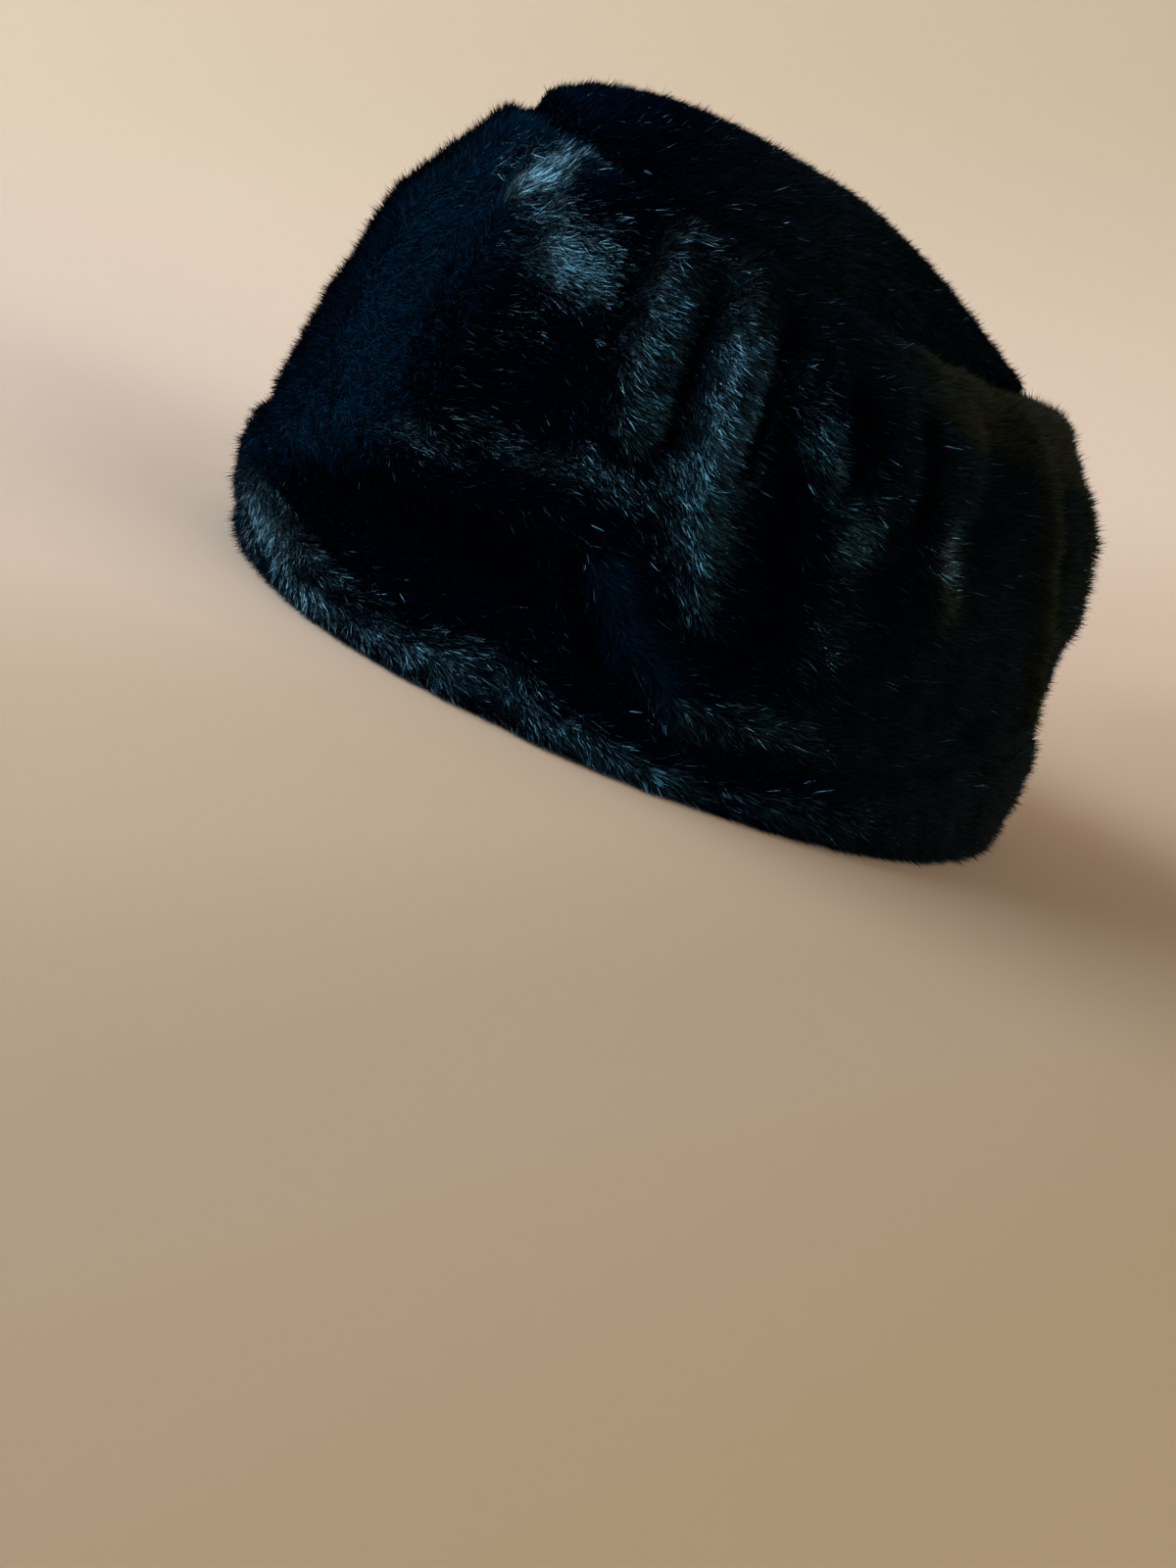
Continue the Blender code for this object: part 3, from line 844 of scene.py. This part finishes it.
def hair_material(name, shine, roughness, sheen):
    """Dyed fibre under painted light colour: its colour follows cool, and its tone and roughness differ from
    hair to hair, the tone darker at the root as painted shade.
    """
    material = bpy.data.materials.new(name)
    material.use_nodes = True
    nodes, links = material.node_tree.nodes, material.node_tree.links
    shader = nodes["Principled BSDF"]
    shader.inputs["Specular IOR Level"].default_value = shine
    shader.inputs["IOR"].default_value = FIBRE_IOR
    shader.inputs["Specular Tint"].default_value = FIBRE_GLINT
    shader.inputs["Sheen Weight"].default_value = sheen
    shader.inputs["Sheen Roughness"].default_value = HAZY_ROUGHNESS
    shader.inputs["Sheen Tint"].default_value = HAZY_TINT
    tone, cool = nodes.new("ShaderNodeAttribute"), nodes.new("ShaderNodeAttribute")
    tone.attribute_name, cool.attribute_name = "tone", "cool"
    # The ramp gives the blue-black fibre its painted light colour: teal in front, grey to olive behind
    dye_and_light = nodes.new("ShaderNodeValToRGB")
    set_ramp(dye_and_light.color_ramp, FIBRE_DYES_AND_LIGHT)
    links.new(cool.outputs["Fac"], dye_and_light.inputs["Fac"])
    fade = nodes.new("ShaderNodeMapRange")
    fade.inputs["To Min"].default_value, fade.inputs["To Max"].default_value = TONE_AND_ROOT_SHADE
    links.new(tone.outputs["Fac"], fade.inputs["Value"])
    shade = nodes.new("ShaderNodeVectorMath")
    shade.operation = "SCALE"
    links.new(dye_and_light.outputs["Color"], shade.inputs[0])
    links.new(fade.outputs["Result"], shade.inputs["Scale"])
    links.new(shade.outputs["Vector"], shader.inputs["Base Color"])
    rough = nodes.new("ShaderNodeMapRange")
    rough.inputs["To Min"].default_value = roughness * FIBRE_ROUGH_FROM
    rough.inputs["To Max"].default_value = roughness * FIBRE_ROUGH_TO
    links.new(tone.outputs["Fac"], rough.inputs["Value"])
    links.new(rough.outputs["Result"], shader.inputs["Roughness"])
    return material


def fibres(name):
    return [hair_material(f"{name}_{kind}", *looks) for kind, *looks in FIBRE_KINDS]


def backing_material():
    """The knitted back of the plush: fine loops, dull black."""
    material = bpy.data.materials.new("plush_backing")
    material.use_nodes = True
    nodes, links = material.node_tree.nodes, material.node_tree.links
    shader = nodes["Principled BSDF"]
    shader.inputs["Base Color"].default_value = BACKING_COLOUR
    shader.inputs["Roughness"].default_value = BACKING_ROUGHNESS
    place = nodes.new("ShaderNodeNewGeometry")
    knit = nodes.new("ShaderNodeTexVoronoi")
    knit.inputs["Scale"].default_value = BACKING_GRAIN
    links.new(place.outputs["Position"], knit.inputs["Vector"])
    bump = nodes.new("ShaderNodeBump")
    bump.inputs["Strength"].default_value = BACKING_BUMP
    bump.inputs["Distance"].default_value = BACKING_BUMP_DEPTH
    links.new(knit.outputs["Distance"], bump.inputs["Height"])
    links.new(bump.outputs["Normal"], shader.inputs["Normal"])
    return material


def settle(piece, node=None):
    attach(piece, "root")
    if node:
        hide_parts(node)


def make_side(backing, rng):
    turn, rise = ring_turns(SIDE_TURNS)[None, :], spread(SIDE_ROWS)[:, None]
    grid = surface(side_points(turn, rise))
    sunk = ROOT_DEPTH * ease(rise / FOOT_STAYS) + CREASE_DEPTH * ease_from(rise, CREASE_FROM, CREASE_REACH)
    sunk = sunk - lumps(grid["points"]) * ease(rise / FOOT_STAYS)
    skin = grid["points"] - grid["normals"] * sunk[..., None]
    lining = side_points(turn, spread(SIDE_LINING_ROWS)[::-1, None], PLUSH)
    plush = plush_material("side_plush_ground")
    body = add_body("side_skin", np.concatenate([lining, skin]), None, [plush, backing], SIDE_LINING_ROWS)
    settle(body, "side_band")
    skin_grid = surface(skin)
    fibre = fibres("side_pile")
    for part in range(SIDE_PARTS):
        found = sample(skin_grid, SIDE_HAIRS // SIDE_PARTS, rng)
        at = found["column"] * 360.0 / SIDE_TURNS
        height = found["row"] / SIDE_ROWS
        droop = table_value(SIDE_NAP, at, 1) * height + table_value(SIDE_NAP, at, 2) * (1 - height)
        droop = np.radians(droop)[:, None]
        down = np.cross(found["round"], found["normals"])
        nap = found["round"] * np.cos(droop) + down * np.sin(droop)
        up = found["points"][:, 2] / seam_height(at)
        slit = np.clip(fold_depth(SIDE_SLITS, at, up, SEAM_HEIGHT) / (SLIT_FULL * FOLD_DEPTH), 0, 1)
        at_seam, rest = SIDE_LENGTHS
        length = HAIR_LENGTH * (at_seam + rest * ease((1 - height) / SIDE_LENGTH_REACH))
        length = length * (1 - SLIT_SHORTENS * slit)
        turned = mirrored(at)
        raised = np.clip(-fold_depth(SIDE_FOLDS, at, up, SEAM_HEIGHT) / (RIDGE_FULL * FOLD_DEPTH), 0, 1)
        # Teal: painted cool window light on the front
        edge = table_value(TEAL_EDGE, up, 1) + TEAL_PAST_EDGE
        teal = ease_to(turned, edge, TEAL_EASES) * teal_share(at)
        dull = ease_from(turned, *DULL)
        olive = ease_from(turned, *OLIVE_BEGINS)
        # Painted light colour: blue-black in front, grey toward the back under the warm room light, and olive
        # on raised folds at the back as painted light on the ridges
        cool = GREY + (BLUE_BLACK - GREY) * (1 - olive) + (TEAL - BLUE_BLACK) * teal - GREY * olive * raised
        # The hanging fold is painted bluer, as painted light on it
        (up_from, turn_from), (up_to, turn_to) = HAZY_FOLD
        start = (math.radians(turn_from) * MEAN_RADIUS, up_from * SEAM_HEIGHT)
        end = (math.radians(turn_to) * MEAN_RADIUS, up_to * SEAM_HEIGHT)
        far = line_distance(np.radians(turned) * MEAN_RADIUS, up * SEAM_HEIGHT, start, end) / HAZY_WIDTH
        cool += HAZY_COOL * np.exp(-far * far)
        # The crown and the back are painted warmer, as warm room light
        crown = ease_from(up, *CROWN_UP) * ease_from(turned, *CROWN_TURN)
        cool = cool - CROWN_WARMER * crown - BACK_WARMER * ease_from(turned, *SIDE_BACK)
        gloss = gloss_share(SIDE_GLOSS, at, up) * (1 - slit)
        gloss = gloss * (1 - DULL_TAKES_GLOSS * dull) * (1 - CROWN_TAKES_GLOSS * crown)
        # Glossy ridges past RIDGE_GREYS are painted lighter grey: a painted highlight
        cool = np.maximum(cool, OLIVE) - RIDGE_GREY * gloss * ease_from(turned, *RIDGE_GREYS)
        brushed = BRUSHED_SHARE * (1 - BRUSH_LOSES * ease_from(turned, *BRUSH_ENDS))
        name = f"side_pile_{part + 1}"
        pile = hairs(name, found, nap, length, LEAN, cool, gloss, brushed, fibre, rng)
        settle(pile)


def make_tip(backing, rng):
    turn = ring_turns(TIP_TURNS)[None, :]
    inward = (np.linspace(0, 1, TIP_ROWS + 1)[:-1] ** TIP_ROW_POWER)[:, None]
    grid = surface(tip_points(turn, inward))
    sunk = ROOT_DEPTH + CREASE_DEPTH * ease(1 - inward / CREASE_REACH)
    sunk = sunk - lumps(grid["points"]) * (1 - inward)
    skin = grid["points"] - grid["normals"] * sunk[..., None]
    lining = tip_points(turn, np.linspace(0, TIP_LINING_REACH, TIP_LINING_ROWS)[::-1, None], PLUSH)
    caps = np.array([tip_points(0.0, 1.0, PLUSH), tip_points(0.0, 1.0, ROOT_DEPTH)])
    plush = plush_material("tip_plush_ground")
    body = add_body("tip_skin", np.concatenate([lining, skin]), caps, [plush, backing], TIP_LINING_ROWS)
    settle(body, "crown_tip")
    fibre = fibres("tip_pile")
    found = sample(surface(skin), TIP_HAIRS, rng)
    nap = np.array(TIP_NAP) + 0 * found["points"]
    nap[:, 0] += TIP_NAP_TURNS * ease(found["points"][:, 1] / TIP_NAP_TURNS_BY)
    inset = table_value(tuple(enumerate(inward[:, 0])), found["row"], 1)
    at_seam, rest = TIP_LENGTHS
    length = HAIR_LENGTH * (at_seam + rest * ease(inset / TIP_LENGTH_REACH))
    # Painted cool window light toward the front of the tip
    forward = ease(TIP_COOL_FROM - found["points"][:, 1] / TIP_COOL_REACH)
    cool = TIP_COOL + TIP_COOL_REST * forward
    pile = hairs("tip_pile", found, nap, length, LEAN, cool, TIP_GLOSS, 0.0, fibre, rng)
    settle(pile)


def make_roll(backing, rng):
    turn = ring_turns(ROLL_TURNS)[None, :]
    rows = len(ROLL_SECTION)
    along = (np.arange(rows * ROLL_STEPS) / ROLL_STEPS)[:, None]
    points = roll_points(turn, along + 0 * turn)
    smooth = points
    for _ in range(ROLL_SMOOTHINGS):
        smooth = (np.roll(smooth, 1, axis=0) + 2 * smooth + np.roll(smooth, -1, axis=0)) / 4
    smooth[..., 2] = np.maximum(smooth[..., 2], 0.0)
    grid = surface(smooth, closed_rows=True)
    outer = ease(along - ROLL_SINKS_FROM) * ease(ROLL_LAST_OUTER + 1 - along)
    sunk = outer * (ROOT_DEPTH - lumps(grid["points"]))
    skin = grid["points"] - grid["normals"] * sunk[..., None]
    plush = plush_material("roll_plush_ground")
    body = add_body("roll_skin", skin, None, [plush])
    settle(body, "rim_roll")
    fibre = fibres("roll_pile")
    skin_grid = surface(skin, closed_rows=True)
    where = along[:, 0]
    hairy = ((where > ROLL_HAIRY[0]) & (where < ROLL_HAIRY[1])) * 1.0
    for part in range(ROLL_PARTS):
        found = sample(skin_grid, ROLL_HAIRS // ROLL_PARTS, rng, hairy)
        at = found["row"] / ROLL_STEPS
        turn = found["column"] * 360.0 / ROLL_TURNS
        turned = mirrored(turn)
        droop = ROLL_DROOP + ROLL_DROOP_LOW * ease_to(at, *ROLL_LOW)
        droop = np.radians(droop + ROLL_DROOP_FRONT * ease_to(turned, *ROLL_FRONT))[:, None]
        down = np.cross(found["round"], found["normals"])
        nap = found["round"] * np.cos(droop) + down * np.sin(droop)
        under = ease_to(at, *ROLL_UNDER)
        length = HAIR_LENGTH * (1 + ROLL_LONGER * under)
        dull = ease_from(turned, *DULL)
        # Painted light colour on the roll: teal in front, greyer where it turns dull toward the back, warmer
        # still at the back
        teal = ease_to(turned, *ROLL_TEAL) * teal_share(turn)
        cool = GREY + (BLUE_BLACK - GREY) * (1 - dull) + (TEAL - BLUE_BLACK) * teal
        cool = cool - BACK_WARMER * ease_from(turned, *ROLL_BACK)
        gloss = gloss_share(ROLL_GLOSS, turned, at) * (1 - DULL_TAKES_GLOSS * dull)
        lean = LEAN - ROLL_LEANS_LESS * under
        name = f"roll_pile_{part + 1}"
        pile = hairs(name, found, nap, length, lean, cool, gloss, ROLL_BRUSHED, fibre, rng)
        settle(pile)


def make_backdrop():
    """A floor that sweeps up into walls all round, in a warm pale paint with painted shade in it."""
    angle = np.arange(ROOM_TURNS) * 2 * math.pi / ROOM_TURNS
    bulge_x = np.sign(np.cos(angle)) * np.abs(np.cos(angle)) ** (2 / ROOM_SQUARENESS)
    bulge_y = np.sign(np.sin(angle)) * np.abs(np.sin(angle)) ** (2 / ROOM_SQUARENESS)
    middle, half_length = (ROOM_BEFORE - ROOM_BEHIND) / 2, (ROOM_BEFORE + ROOM_BEHIND) / 2
    profile = [(SWEEP_RADIUS * FLOOR_INSET, 0.0)]
    for k in range(SWEEP_STEPS + 1):
        climb = math.pi / 2 * k / SWEEP_STEPS
        profile.append((SWEEP_RADIUS * (1 - math.sin(climb)), SWEEP_RADIUS * (1 - math.cos(climb))))
    profile.append((0.0, ROOM_TOP))
    rings = []
    for inset, z in profile:
        x = middle + (half_length - inset) * bulge_x
        rings.append(np.stack([x, (ROOM_HALF_WIDTH - inset) * bulge_y, z + 0 * x], axis=-1))
    points = np.concatenate(rings).tolist()
    faces = [list(range(ROOM_TURNS))]
    for ring in range(len(rings) - 1):
        for k in range(ROOM_TURNS):
            low, after = ring * ROOM_TURNS + k, ring * ROOM_TURNS + (k + 1) % ROOM_TURNS
            faces.append((low, low + ROOM_TURNS, after + ROOM_TURNS, after))
    mesh = bpy.data.meshes.new("backdrop")
    mesh.from_pydata(points, [], faces)
    mesh.polygons.foreach_set("use_smooth", [True] * len(faces))
    material = bpy.data.materials.new("backdrop_paint")
    material.use_nodes = True
    shader = material.node_tree.nodes["Principled BSDF"]
    nodes, links = material.node_tree.nodes, material.node_tree.links
    shader.inputs["Roughness"].default_value = PAINT_ROUGHNESS
    shader.inputs["Specular IOR Level"].default_value = PAINT_SHINE
    place = nodes.new("ShaderNodeNewGeometry")
    height = nodes.new("ShaderNodeVectorMath")
    height.operation = "DOT_PRODUCT"
    height.inputs[1].default_value = PAINT_RISE
    links.new(place.outputs["Position"], height.inputs[0])
    share = nodes.new("ShaderNodeMapRange")
    first, last = PAINT_AND_SHADE[0][0], PAINT_AND_SHADE[-1][0]
    share.inputs["From Min"].default_value = first
    share.inputs["From Max"].default_value = last
    links.new(height.outputs["Value"], share.inputs["Value"])
    # The paint ramp is darker toward the bottom of the view and on the floor toward the window light: painted
    # shade
    paint = nodes.new("ShaderNodeValToRGB")
    paint.color_ramp.interpolation = "EASE"
    set_ramp(paint.color_ramp, [((row[0] - first) / (last - first), *row[1:]) for row in PAINT_AND_SHADE])
    links.new(share.outputs["Result"], paint.inputs["Fac"])
    links.new(paint.outputs["Color"], shader.inputs["Base Color"])
    mesh.materials.append(material)
    backdrop = bpy.data.objects.new("backdrop", mesh)
    bpy.context.scene.collection.objects.link(backdrop)


def add_area_light(name, place, size, energy, colour):
    light = bpy.data.lights.new(name, "AREA")
    light.shape = "RECTANGLE"
    light.size, light.size_y = size
    light.energy, light.color = energy, colour
    lamp = bpy.data.objects.new(name, light)
    bpy.context.scene.collection.objects.link(lamp)
    lamp.location = place
    lamp.rotation_euler = (Vector(LIT_PLACE) - Vector(place)).to_track_quat("-Z", "Y").to_euler()


def light_scene():
    for row in LIGHTS:
        add_area_light(*row)
    world = bpy.data.worlds.new("room")
    world.use_nodes = True
    background = world.node_tree.nodes["Background"]
    background.inputs["Color"].default_value = WORLD_COLOUR
    background.inputs["Strength"].default_value = WORLD_STRENGTH
    bpy.context.scene.world = world


def add_camera():
    data = bpy.data.cameras.new("camera")
    data.sensor_fit = "AUTO"
    data.sensor_width = SENSOR
    data.lens = CAMERA_LENS
    data.clip_start = NEAR_CLIP
    camera = bpy.data.objects.new("camera", data)
    bpy.context.scene.collection.objects.link(camera)
    place, aim = Vector(CAMERA_PLACE), Vector(CAMERA_AIM)
    level = (aim - place).to_track_quat("-Z", "Y")
    about_sight = Quaternion((0, 0, 1), CAMERA_TURN)
    camera.matrix_world = Matrix.Translation(place) @ (level @ about_sight).to_matrix().to_4x4()
    bpy.context.scene.camera = camera


def main():
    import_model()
    rng = np.random.default_rng(SEED)
    backing = backing_material()
    make_side(backing, rng)
    make_tip(backing, rng)
    make_roll(backing, rng)
    make_backdrop()
    light_scene()
    add_camera()
    bpy.context.scene.view_settings.view_transform = "Standard"


main()
